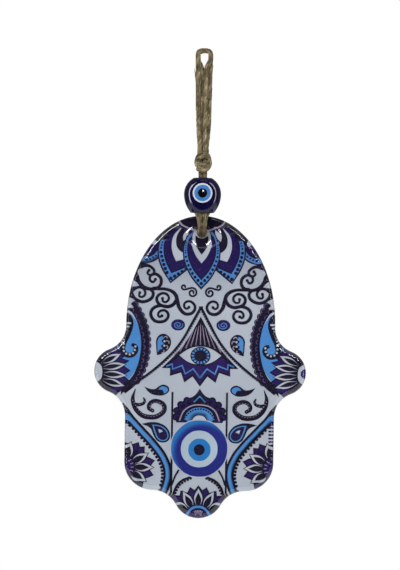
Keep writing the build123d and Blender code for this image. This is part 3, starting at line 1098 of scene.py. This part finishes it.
point_leaves = (("dark", 7, 0.5, 2.85), ("violet", 8, -0.3, 2.25))
petal_leaves = (("dark", 9, 0.6, 2.45), ("pale", 10, 0.0, 1.95), ("dark", 11, -1.9, 1.42))


def lotus(x, drop, points, petals, root, both=True):
    """Violet points and, over them, pale-edged petals, each given as (angle, reach)."""
    for spikes, leaves, foot, belly in ((points, point_leaves, root - 1, 0.62),
                                        (petals, petal_leaves, root, 0.5)):
        for angle, reach in spikes:
            base = spot_at(x, drop, angle, foot)
            for ink, level, more, half in leaves:
                leaf(ink, level, base, spot_at(x, drop, angle, reach + more), half, belly, both, cut=True)


def ticks(level, middle, turns, reach, width, both=True):
    """Short lilac lines that stand round a middle, from one reach to another."""
    for turn in turns:
        ends = [spot_at(*middle, turn, radius) for radius in reach]
        stroke("lilac", level, ends, width, both=both, cut=True, sharp=True)


corner_spot, finger_spot = (36.4, 119.2), (0, 143.0)
lotus(35.1, 119.2, ((90, 13.0), (119, 13.2), (134, 13.3), (167, 14.4), (195, 14.0), (229, 13.4), (258, 12.8)),
      ((104, 12.2), (149, 12.9), (180, 13.7), (213, 12.3), (246, 12.0)), 3.2)
disc("dark", 12, *corner_spot, 6.4, cut=True)
disc("violet", 13, 36.8, 119.2, 5.9, cut=True)
ticks(14, corner_spot, range(100, 270, 20), (4.3, 5.7), 0.3)

half_fan = ((15, 14.9), (33, 15.2), (47, 15.6), (65, 15.0))
fan = [(90 + side * turn, reach) for turn, reach in half_fan for side in (1, -1)]
lotus(*finger_spot, [(90, 15.2)] + fan, ((33, 14.8), (147, 14.8), (60, 14.6), (120, 14.6), (90, 14.2)), 4.6,
      both=False)
for ink, level, radius in (("dark", 12, 6.6), ("blue", 13, 6.0), ("dark", 14, 4.9)):
    disc(ink, level, *finger_spot, radius, both=False, cut=True)
disc("violet", 15, 0, 143.4, 4.6, both=False, cut=True)
ticks(16, finger_spot, range(60, 121, 12), (2.2, 3.9), 0.4, both=False)

fringe = [(4.0, 123.6), (8.0, 125.4), (10.6, 128.4), (12.0, 132.4)]
stroke("dark", 4, fringe, 1.1, cut=True)
row("dark", 4, fringe, 1.5, 0.66, offset=-0.6, cut=True)
stroke("dark", 4, [(9.4, 120.2), (11.2, 123.4), (12.6, 127.4)], 0.9, cut=True)
tell("lower lotuses")


# %% [markdown]
# Printed ink is never one even colour: the press leaves a fine grain and slow changes of depth.
# Each ink has its own colour with a fine noise and a broad one mixed in. The violet, the blue and
# the ground are painted darker at the top of the hand and clearer below, as painted shade, and the
# roundel's ring lightens to azure at its upper left.

# %% Inks
ink_grain = 0.35
top_shade_drops = (45, 18)
azure_drop, azure_side = 112.0, 1.6
azure_reach = (11.8, 14.4)


def ink_material(name, deep, light):
    """An ink between two depths of its colour. What it is made of can be built on further."""
    material, shader = new_material(f"ink_{name}", roughness=0.55, specular_ior_level=0.05)
    place = add_node(material, "ShaderNodeTexCoord").outputs["Object"]
    fine = noise(material, place, scale=2600.0, detail=2.0)
    broad = noise(material, place, scale=38.0, detail=2.0)
    depth = mixed(material, "FLOAT", ink_grain, broad, fine)
    colour = colour_steps(material, depth, [(0.3, deep), (0.7, light)])
    join(material, colour, shader.inputs["Base Color"])
    return material, shader, place, colour


def shaded_ink(name, deep, light, other_deep, other_light, factor_of):
    """An ink that goes over to a second colour where a factor of the place says so."""
    material, shader, place, colour = ink_material(name, deep, light)
    factor = factor_of(material, place)
    other = colour_steps(material, factor, [(0.0, other_deep), (1.0, other_light)])
    join(material, mixed(material, "RGBA", factor, colour, other), shader.inputs["Base Color"])
    return material


# Painted shade: a factor that rises towards the top of the hand, where the violet, the blue and the ground
# are painted darker.
def shade_towards_top(material, place):
    low, high = (plaque_top - drop * mm for drop in top_shade_drops)
    return graded(material, one_axis(material, place, "Z"), from_min=low, from_max=high)


def towards_upper_left(material, place):
    off = add_node(material, "ShaderNodeVectorMath", operation="DISTANCE")
    off.inputs[1].default_value = (azure_side * mm, film_high.y, plaque_top - azure_drop * mm)
    join(material, place, off.inputs[0])
    near, far = (reach * mm for reach in azure_reach)
    return graded(material, off.outputs["Value"], from_min=near, from_max=far)


plain_inks = {
    "dark": ((24, 20, 40), (34, 28, 52)),
    "pale": ((176, 182, 194), (196, 201, 210)),
    "lilac": ((168, 152, 180), (190, 178, 200)),
    "mauve": ((84, 68, 116), (102, 86, 134)),
    "milk": ((174, 191, 203), (188, 203, 214)),
    "sky": ((38, 118, 190), (54, 132, 202)),
}
# Each entry gives two depths, the second colour's two depths, and where it turns to it: painted shade towards
# the top, or the roundel's printed azure.
shaded_inks = {
    "violet": ((37, 25, 81), (50, 35, 97), (36, 24, 82), (34, 23, 80), shade_towards_top),
    "blue": ((72, 133, 200), (90, 149, 213), (84, 134, 202), (79, 125, 191), shade_towards_top),
    "roundel": ((34, 40, 122), (46, 52, 138), (38, 70, 148), (44, 114, 184), towards_upper_left),
    "ground": ((177, 184, 196), (192, 198, 209), (178, 184, 197), (162, 167, 181), shade_towards_top),
}
inks = {name: ink_material(name, *colours)[0] for name, colours in plain_inks.items()}
inks.update((name, shaded_ink(name, *recipe)) for name, recipe in shaded_inks.items())

print(len(inks), "inks")


# %% [markdown]
# All motifs of one ink are now one piece. It is turned from the drawing plane to its place behind
# the glass, and its mesh keeps that place, so that the grain of the ink lies still when it moves.

# %% Prints
ink_weld = 0.0005
for name, shape in prints.items():
    bmesh.ops.remove_doubles(shape, verts=shape.verts, dist=ink_weld)
    bmesh.ops.transform(shape, matrix=to_plaque, verts=shape.verts)
    mesh = written(shape, bpy.data.meshes.new(f"print_{name}"))
    piece_of(f"print_{name}", mesh, inks[name], "plaque")
    print(f"print_{name}", len(mesh.polygons), "faces")


# %% [markdown]
# The film itself is the pale ground that the ornament is printed on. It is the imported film, made
# thinner from the front so that the inks have room between it and the glass.

# %% Film
def film_mesh():
    shape = fitted_film()
    middle = (film_low.y + film_high.y) / 2
    for v in shape.verts:
        if v.co.y < middle:
            v.co.y = to_plaque.translation.y
    return written(shape, bpy.data.meshes.new("print_ground"))


ground = piece_of("print_ground", film_mesh(), inks["ground"], "plaque")
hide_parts("print_film")
bpy.data.objects.remove(cutter)
print("film of", len(ground.data.polygons), "faces")


# %% [markdown]
# The plaque is clear glass, poured thick and polished, with a soft rounded rim that gathers the
# light. Real glass bends what lies behind it, so the shader is a true refracting one. Lamps would
# not reach the print through it in a path tracer, so shadow rays are let straight through.

# %% Clear glass
def clear_glass_material():
    material, shader = new_material("clear_glass", base_color=(0.975, 0.985, 0.99, 1), roughness=0.02,
                                    transmission_weight=1.0, ior=1.5, coat_weight=1.0, coat_roughness=0.02)
    rays = add_node(material, "ShaderNodeLightPath")
    through = add_node(material, "ShaderNodeBsdfTransparent")
    either = add_node(material, "ShaderNodeMixShader")
    join(material, rays.outputs["Is Shadow Ray"], either.inputs["Fac"])
    join(material, shader.outputs["BSDF"], either.inputs[1])
    join(material, through.outputs["BSDF"], either.inputs[2])
    join(material, either.outputs["Shader"], material.node_tree.nodes["Material Output"].inputs["Surface"])
    return material


clear_glass = clear_glass_material()
print("clear glass has", len(clear_glass.node_tree.nodes), "nodes")


# %% [markdown]
# Round its hole the glass has a low raised collar, where the melt drew up against the pin that made
# the hole. It is hardly thicker than paper, but its two slopes catch the lamps as thin arcs of
# light. Its height is a formula of the place, eased in at the pin and out at an oval round it, so
# that the normals can be worked out from it too.

# %% Height of the collar
collar_h = 0.38
collar_inner, collar_outer = (4.1, 5.6), (0.82, 1.0)
collar_span, collar_middle = Vector((9.2, 5.9)), Vector((0.9, 9.6))
pin_x, pin_drop = -0.3, 9.4
dome_half, dome_h, dome_foot = 32.8, 48.6, 51
rim_fade = (0.1, 1.3)


def eased(value, low, high):
    """From 0 at low to 1 at high, level at both ends."""
    share = min(1.0, max(0.0, (value - low) / (high - low)))
    return share * share * (3 - 2 * share)


def collar_rise(x, drop):
    """The height of the collar at a place on the drawing plane. It fades out at the rounded rim."""
    outer = math.hypot((x - collar_middle.x) / collar_span.x, (drop - collar_middle.y) / collar_span.y)
    from_rim = dome_h * (1 - math.hypot(x / dome_half, (dome_foot - drop) / dome_h))
    height = eased(math.hypot(x - pin_x, drop - pin_drop), *collar_inner) * (1 - eased(outer, *collar_outer))
    return collar_h * height * eased(from_rim, *rim_fade)


def collar_normal(x, drop):
    near = 0.02
    across = (collar_rise(x + near, drop) - collar_rise(x - near, drop)) / (2 * near)
    down = (collar_rise(x, drop + near) - collar_rise(x, drop - near)) / (2 * near)
    return Vector((-across, -1, down)).normalized()


print("collar at most", collar_h, "mm high")


# %% [markdown]
# A merged copy of the plaque is cut into a fine grid round the hole, and the grid is pushed forward
# by the collar's height. A bump in the material could shade such a collar, but only real slopes
# also bend what is seen through them.

# %% Collared glass
grid_half, grid_low, grid_step = 11.1, 16.2, 0.2


def cut_along(shape, normal, distance, wanted):
    """Cuts the wanted faces along a plane."""
    faces = [f for f in shape.faces if wanted(f)]
    parts = {part for f in faces for part in (*f.verts, *f.edges)}
    bmesh.ops.bisect_plane(shape, geom=faces + list(parts), plane_co=normal * distance, plane_no=normal,
                           dist=1e-7)


def cut_grid(shape):
    """A fine grid on the flat front round the hole."""
    right, up = Vector((1, 0, 0)), Vector((0, 0, 1))

    def front(f):
        return f.normal.y < -0.9999 and f.calc_center_bounds().y < plaque_low.y + 0.01 * mm

    def near(f):
        middle = f.calc_center_bounds()
        return front(f) and abs(middle.x) < grid_half * mm and middle.z > plaque_top - grid_low * mm

    for side in (-1, 1):
        cut_along(shape, right, side * grid_half * mm, front)
    cut_along(shape, up, plaque_top - grid_low * mm, front)
    for i in range(1, round(2 * grid_half / grid_step)):
        cut_along(shape, right, (i * grid_step - grid_half) * mm, near)
    for i in range(1, round(grid_low / grid_step)):
        cut_along(shape, up, plaque_top - i * grid_step * mm, near)


def collared_glass():
    """The plaque with its collar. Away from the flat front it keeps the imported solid's normals."""
    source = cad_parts["glass_hand"].data
    normal_of = {}
    for loop, normal in zip(source.loops, source.corner_normals):
        normal_of[loop.vertex_index] = normal.vector.copy()
    places = KDTree(len(source.vertices))
    for v in source.vertices:
        places.insert(v.co, v.index)
    places.balance()

    shape = merged(source)
    cut_grid(shape)
    normals = []
    for v in shape.verts:
        x, drop = v.co.x / mm, (plaque_top - v.co.z) / mm
        if v.co.y < plaque_low.y + weld:
            v.co.y -= collar_rise(x, drop) * mm
            normals.append(collar_normal(x, drop))
        else:
            normals.append(normal_of[places.find(v.co)[1]])
    mesh = written(shape, bpy.data.meshes.new("collared_glass"))
    mesh.shade_smooth()
    mesh.normals_split_custom_set_from_vertices(normals)
    return mesh


glass = piece_of("collared_glass", collared_glass(), clear_glass, "plaque")
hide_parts("glass_hand")
print("glass of", len(glass.data.polygons), "faces")


# %% [markdown]
# The bead is lampwork: cobalt glass wound on a rod, with dabs of white, light blue and black
# melted into its face. Such glass is opaque, deep and wet-looking, with faint streaks where the
# colour was stirred, and a skin so smooth that it mirrors the lamps.

# %% Bead glass
def bead_glass_material(name, deep, light):
    material, shader = new_material(name, roughness=0.06, coat_weight=0.6, coat_roughness=0.03)
    where = add_node(material, "ShaderNodeTexCoord")
    streaked = stretched(material, where.outputs["Object"], (1.0, 1.0, 0.35))
    stir = noise(material, streaked, scale=240.0, detail=4.0, distortion=0.8)
    colour = colour_steps(material, stir, [(0.35, deep), (0.65, light)])
    join(material, colour, shader.inputs["Base Color"])
    bumped(material, shader, stir, strength=0.06, distance=0.1 * mm)
    return material


bead_glasses = {
    "body": ("cobalt_glass", (14, 10, 50), (24, 18, 76)),
    "eye_white": ("white_glass", (222, 228, 238), (240, 243, 248)),
    "eye_blue": ("light_blue_glass", (72, 134, 208), (92, 152, 222)),
    "eye_pupil": ("black_glass", (10, 10, 12), (22, 22, 26)),
}
bead_pieces = [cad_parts[f"bead_{part}"] for part in bead_glasses]
for piece, (glass_name, deep, light) in zip(bead_pieces, bead_glasses.values()):
    coat(piece.data, bead_glass_material(glass_name, deep, light))
    print(piece.name, "is of", glass_name)


# %% [markdown]
# The back of the print is sealed with a white sheet. It is plain vinyl, matt, with the faint
# orange-peel skin that such sheet has.

# %% White backing
def backing_material():
    material, shader = new_material("white_backing", roughness=0.62)
    place = add_node(material, "ShaderNodeTexCoord").outputs["Object"]
    peel = noise(material, place, scale=900.0, detail=2.0)
    cloud = noise(material, place, scale=40.0, detail=3.0)
    colour = colour_steps(material, cloud, [(0.3, (226, 227, 228)), (0.7, (240, 240, 238))])
    join(material, colour, shader.inputs["Base Color"])
    bumped(material, shader, peel, strength=0.25, distance=0.05 * mm)
    return material


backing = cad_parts["backing_sheet"]
coat(backing.data, backing_material())
print(backing.name, "has", len(backing.data.polygons), "faces")


# %% [markdown]
# The ornament hangs free, so its stage is a pale round floor well below it, which the camera in
# front doesn't see.

# %% Floor
floor_drop, floor_r = 0.25, 1.2
shape = bmesh.new()
bmesh.ops.create_circle(shape, cap_ends=True, segments=96, radius=floor_r)
bmesh.ops.translate(shape, verts=shape.verts, vec=(0, 0, plaque_low.z - floor_drop))
floor = bpy.data.objects.new("floor", written(shape, bpy.data.meshes.new("floor")))
scene.collection.objects.link(floor)
coat(floor.data, new_material("floor_paint", base_color=(0.86, 0.86, 0.86, 1), roughness=0.8)[0])
print("floor at", round(plaque_low.z - floor_drop, 3))


# %% [markdown]
# The world is white where the camera, or a ray through glass, looks past the ornament. In a
# reflection it is far dimmer, and dimmest towards the front, where a studio is dark behind the
# photographer. Only soft light reaches the ornament from it, and lamps do the rest.

# %% World
world_soft, world_mirrored, world_in_front = 0.22, 0.07, 0.04


def white_world():
    world = bpy.data.worlds.new("studio")
    world.use_nodes = True
    rays = add_node(world, "ShaderNodeLightPath").outputs
    where = add_node(world, "ShaderNodeTexCoord")
    behind = graded(world, one_axis(world, where.outputs["Generated"], "Y"),
                    from_min=-0.1, from_max=0.35, to_min=world_in_front, to_max=1.0)
    first_look = reckoned(world, "LESS_THAN", rays["Diffuse Depth"], 0.5)
    through = reckoned(world, "MULTIPLY", rays["Is Transmission Ray"], first_look)
    by_glass = reckoned(world, "MAXIMUM", rays["Is Glossy Ray"], through)
    mirrored = reckoned(world, "MULTIPLY", rays["Is Glossy Ray"], world_mirrored)
    past_glass = reckoned(world, "MULTIPLY", reckoned(world, "MAXIMUM", mirrored, through), behind)
    shown = reckoned(world, "MAXIMUM", rays["Is Camera Ray"], past_glass)
    level = reckoned(world, "MAXIMUM", shown, world_soft)
    light = set_up(world.node_tree.nodes["Background"], {"strength": 1.0})
    join(world, mixed(world, "FLOAT", by_glass, level, shown), light.inputs["Color"])
    return world


scene.world = white_world()
print("world has", len(scene.world.node_tree.nodes), "nodes")


# %% [markdown]
# Two long soft boxes stand at the upper left and the upper right and do most of the lighting. Their
# mirror images are the streaks on the rounded rim, the bead and the collar, so their length lies
# across the line to the ornament. Tall strips at the sides draw the straight edges, and a lamp
# behind shows the white back. A small lamp near the lens puts the glint in the bead's eye, and two
# wide ones beside it lay a gloss on the bead's flanks. Those three are linked to the bead alone,
# because flat glass would mirror them as spots. Light that came through the glass by a bent way
# would count twice, so no lamp is seen through it.

# %% Lamps
bead_alone = bpy.data.collections.new("bead alone")
for piece in bead_pieces:
    bead_alone.objects.link(piece)


def soft_lamp(name, place, size, watts, turn=0.0, only=None):
    """A soft box that looks at the middle of the plaque, turned about its own axis by some degrees."""
    data = bpy.data.lights.new(name, "AREA")
    data.shape = "RECTANGLE"
    data.size, data.size_y = size
    data.energy = watts
    lamp = bpy.data.objects.new(name, data)
    lamp.location = place
    aim = (view_middle - lamp.location).to_track_quat("-Z", "Y").to_matrix()
    lamp.rotation_euler = (aim @ Matrix.Rotation(math.radians(turn), 3, "Z")).to_euler()
    lamp.visible_transmission = False
    lamp.light_linking.receiver_collection = only
    scene.collection.objects.link(lamp)
    return lamp


soft_lamp("key", (-0.52, -0.85, 0.42), (0.5, 0.2), 4.6, turn=48)
soft_lamp("fill", (0.52, -0.85, 0.4), (0.42, 0.12), 2.2, turn=-48)
soft_lamp("top", (0.1, -0.35, 0.75), (0.5, 0.25), 0.5)
soft_lamp("left strip", (-0.95, -0.4, -0.1), (0.1, 0.9), 0.9)
soft_lamp("right strip", (0.95, -0.4, -0.1), (0.1, 0.9), 0.9)
soft_lamp("back", (0.2, 1.0, 0.3), (0.5, 0.5), 2.5).visible_glossy = False
soft_lamp("glint", (0.03, -1.25, 0.09), (0.07, 0.07), 0.35, only=bead_alone)
for name, place, watts in (("left gloss", (-0.87, -0.5, -0.07), 40), ("right gloss", (0.87, -0.5, 0.1), 22)):
    soft_lamp(name, place, (0.9, 1.8), watts, only=bead_alone).visible_diffuse = False
print(len(bpy.data.lights), "lamps")
